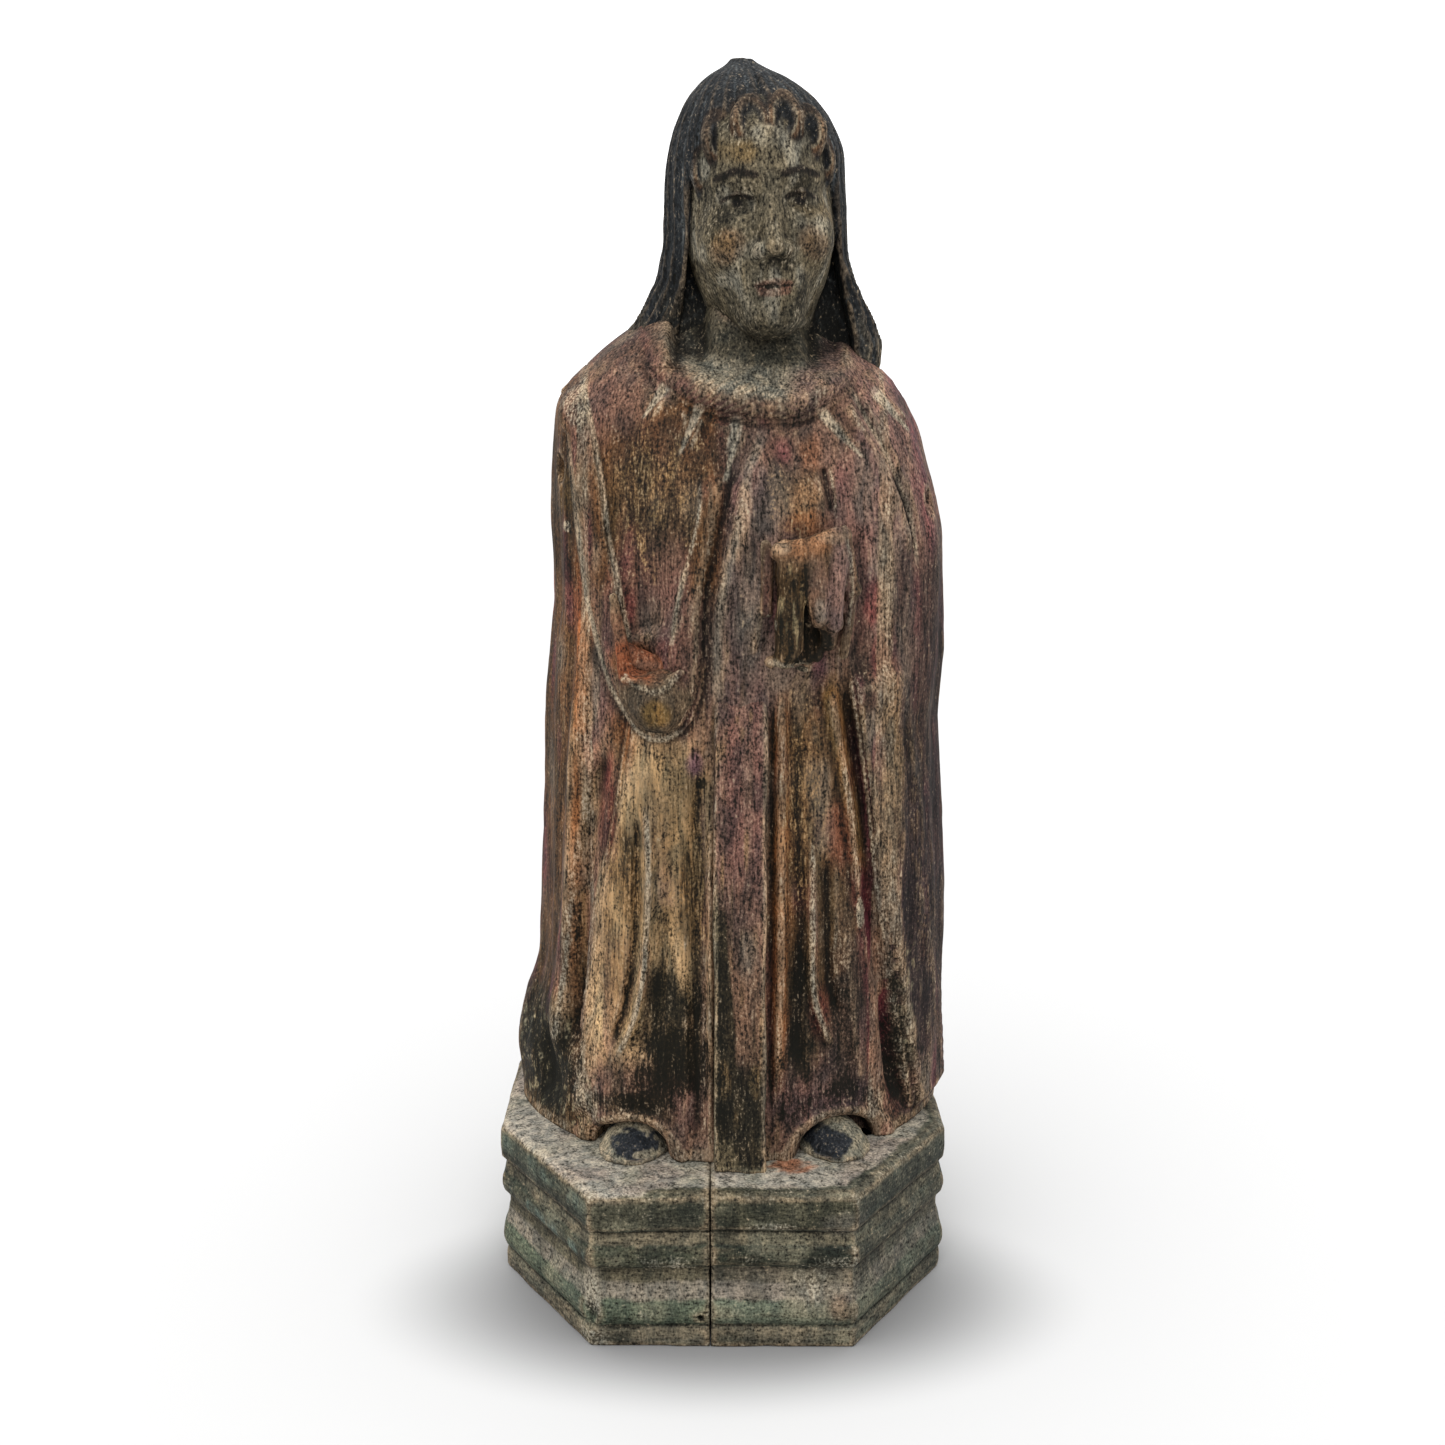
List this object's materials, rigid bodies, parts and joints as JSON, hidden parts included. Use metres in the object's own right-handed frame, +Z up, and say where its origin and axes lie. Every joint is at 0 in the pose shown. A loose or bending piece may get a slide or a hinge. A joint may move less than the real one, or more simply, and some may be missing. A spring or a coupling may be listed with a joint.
{
  "type": "carved devotional statue",
  "caption": "Painted carved wooden devotional figure in a long robe and cloak, standing on an eight-sided moulded plinth.",
  "frame": {"origin": "centre of the plinth's underside", "axes": "+Z up, +X towards the figure's left hand, -Y towards the front"},
  "size_m": [0.174, 0.178, 0.46],
  "materials": {
    "plinth_paint": "worn dark green and grey-pink paint over gesso",
    "robe_paint": "worn tan, maroon and olive-black paint on brown wood, matt",
    "cloak_paint_right": "worn maroon and ochre paint, dark grime, matt",
    "cloak_paint_left": "worn mauve-grey paint over gesso, matt",
    "head_paint": "grey-cream flesh gesso with speckle, dark blue-grey hair, matt",
    "band_paint": "worn mauve and olive-black paint, matt",
    "cuff_paint": "olive, ochre and gesso wear, matt",
    "fist_paint": "olive-black and ochre wear, matt",
    "stub_wood": "raw orange-brown broken wood",
    "shoe_paint": "blue-black paint with chipped gesso edge",
    "crown_wood": "dark stained wood end",
    "peg_wood": "raw pale brown wood"
  },
  "bodies": {
    "root": {"plinth_board_right": "plinth_paint", "plinth_board_left": "plinth_paint", "plinth_dowels": "peg_wood", "trunk_dowels": "peg_wood", "robe_trunk": "robe_paint", "side_board_right": "cloak_paint_right", "side_board_left": "cloak_paint_left", "shoulder_peg_right": "peg_wood", "shoulder_peg_left": "peg_wood", "hip_pegs": "peg_wood", "head_block": "head_paint", "neck_dowel": "peg_wood", "crown_plug": "crown_wood", "front_band": "band_paint", "band_pegs": "peg_wood", "right_cuff": "cuff_paint", "right_wrist_stub": "stub_wood", "cuff_dowel": "peg_wood", "left_fist": "fist_paint", "fist_dowel": "peg_wood", "right_shoe": "shoe_paint", "left_shoe": "shoe_paint", "shoe_pegs": "peg_wood"}
  },
  "joints": []
}
